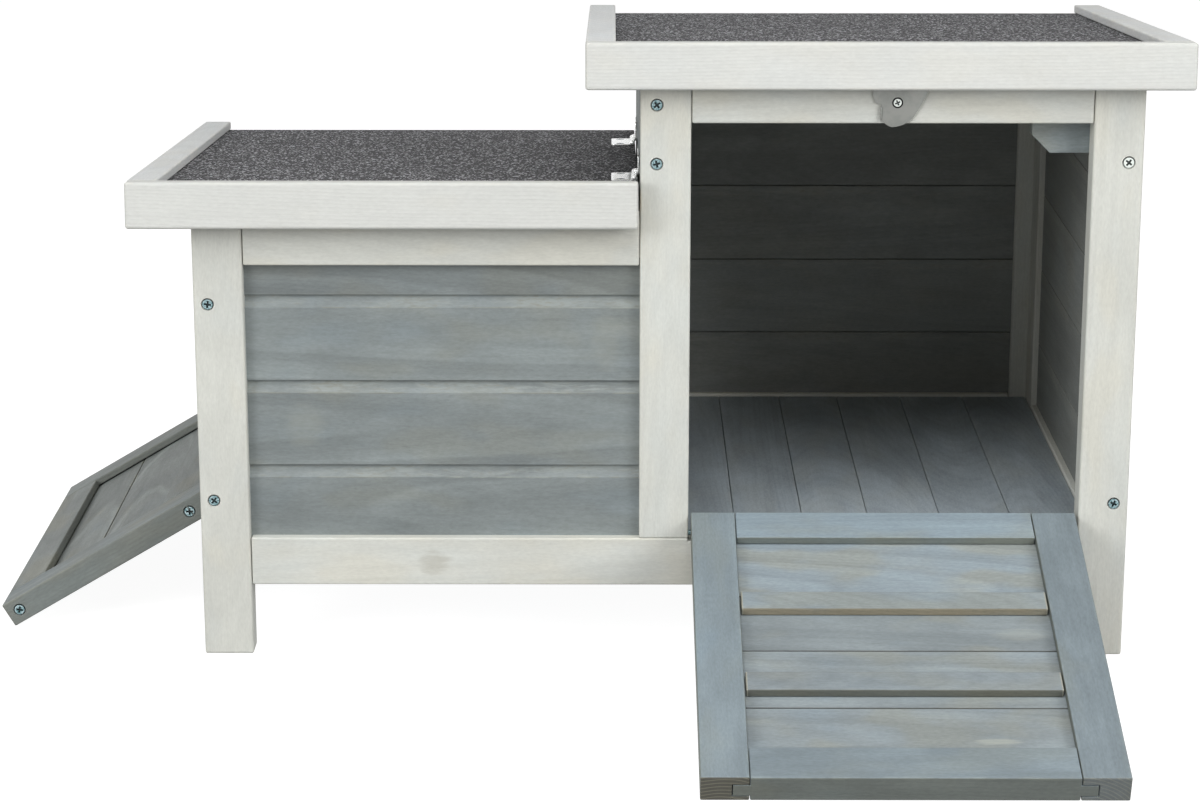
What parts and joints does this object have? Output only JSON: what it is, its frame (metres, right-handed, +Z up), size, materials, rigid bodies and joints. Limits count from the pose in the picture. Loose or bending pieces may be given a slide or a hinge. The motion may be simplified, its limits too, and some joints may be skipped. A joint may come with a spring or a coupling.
{
  "type": "rabbit hutch",
  "caption": "Small wooden rabbit hutch with a low and a tall room under sloping felted roofs, a lifting lid over the low room and drop-down doors that open as ramps.",
  "frame": {"origin": "centre of the whole hutch's footprint on the ground, with both doors lying open as ramps", "axes": "+X to the right seen from the front, towards the tall room; +Y from the front to the back; +Z up"},
  "size_m": [0.9202, 0.7638, 0.4833],
  "materials": {
    "whitewashed_wood": "thin white stain with the grain showing, satin",
    "stained_wood": "thin grey-blue stain with the grain showing, satin",
    "bare_wood": "planed and unfinished",
    "roofing_felt": "mineral granules, matte",
    "zinc_plate": "bright zinc plating"
  },
  "bodies": {
    "frame": {"leg_front_left": "whitewashed_wood", "leg_front_right": "whitewashed_wood", "post_front_middle": "whitewashed_wood", "rail_front_bottom": "whitewashed_wood", "rail_front_top_low": "whitewashed_wood", "rail_front_top_tall": "whitewashed_wood", "leg_back_left": "whitewashed_wood", "leg_back_right": "whitewashed_wood", "post_back_middle": "whitewashed_wood", "rail_back_bottom": "whitewashed_wood", "rail_back_top_low": "whitewashed_wood", "rail_back_top_tall": "whitewashed_wood", "front_board_1": "stained_wood", "front_board_2": "stained_wood", "front_board_3": "stained_wood", "front_board_4": "stained_wood", "back_boards_low": "stained_wood", "back_boards_tall": "stained_wood", "stile_left_front": "whitewashed_wood", "stile_left_back": "whitewashed_wood", "rail_left_bottom": "whitewashed_wood", "rail_left_top": "whitewashed_wood", "stile_right_front": "whitewashed_wood", "stile_right_back": "whitewashed_wood", "rail_right_bottom": "whitewashed_wood", "rail_right_top": "whitewashed_wood", "right_boards": "stained_wood", "wall_upper_left": "stained_wood", "floor_boards": "stained_wood", "door_stop": "stained_wood", "tall_roof_deck": "bare_wood", "tall_roof_felt": "roofing_felt", "tall_roof_fascia": "whitewashed_wood", "tall_roof_strip_left": "whitewashed_wood", "tall_roof_strip_right": "whitewashed_wood", "hinge_1_wall_leaf": "zinc_plate", "hinge_2_wall_leaf": "zinc_plate"},
    "low_roof": {"low_roof_deck": "bare_wood", "low_roof_felt": "roofing_felt", "low_roof_fascia": "whitewashed_wood", "low_roof_strip_left": "whitewashed_wood", "hinge_1_roof_leaf": "zinc_plate", "hinge_2_roof_leaf": "zinc_plate"},
    "ramp": {"ramp_stile_left": "stained_wood", "ramp_stile_right": "stained_wood", "ramp_rail_pivot": "stained_wood", "ramp_rail_free": "stained_wood", "ramp_board_1": "stained_wood", "ramp_board_2": "stained_wood", "ramp_board_3": "stained_wood", "ramp_board_4": "stained_wood", "ramp_cleat_1": "stained_wood", "ramp_cleat_2": "stained_wood"},
    "side_door": {"side_door_stile_left": "stained_wood", "side_door_stile_right": "stained_wood", "side_door_rail_pivot": "stained_wood", "side_door_rail_free": "stained_wood", "side_door_boards": "stained_wood"},
    "latch_front_button": {"latch_front": "zinc_plate"},
    "latch_left_button": {"latch_left": "zinc_plate"}
  },
  "joints": [
    {"name": "low_roof_hinge", "type": "hinge", "parent": "frame", "child": "low_roof", "pos_m": [0.04574, -0.07646, 0.37204], "axis": [0, 0.9967, -0.0811], "range_deg": [0, 60]},
    {"name": "ramp_hinge", "type": "hinge", "parent": "frame", "child": "ramp", "pos_m": [0.23804, -0.07351, 0.09851], "axis": [1, 0, 0], "range_deg": [-107.26, 0]},
    {"name": "side_door_hinge", "type": "hinge", "parent": "frame", "child": "side_door", "pos_m": [-0.28496, 0.14999, 0.10278], "axis": [0, -1, 0], "range_deg": [-120.66, 0]},
    {"name": "latch_front_turn", "type": "hinge", "parent": "frame", "child": "latch_front_button", "pos_m": [0.24104, -0.07801, 0.436], "axis": [0, 1, 0], "range_deg": [0, 120]},
    {"name": "latch_left_turn", "type": "hinge", "parent": "frame", "child": "latch_left_button", "pos_m": [-0.28946, 0.06649, 0.31645], "axis": [1, 0, 0], "range_deg": [0, 120]}
  ]
}
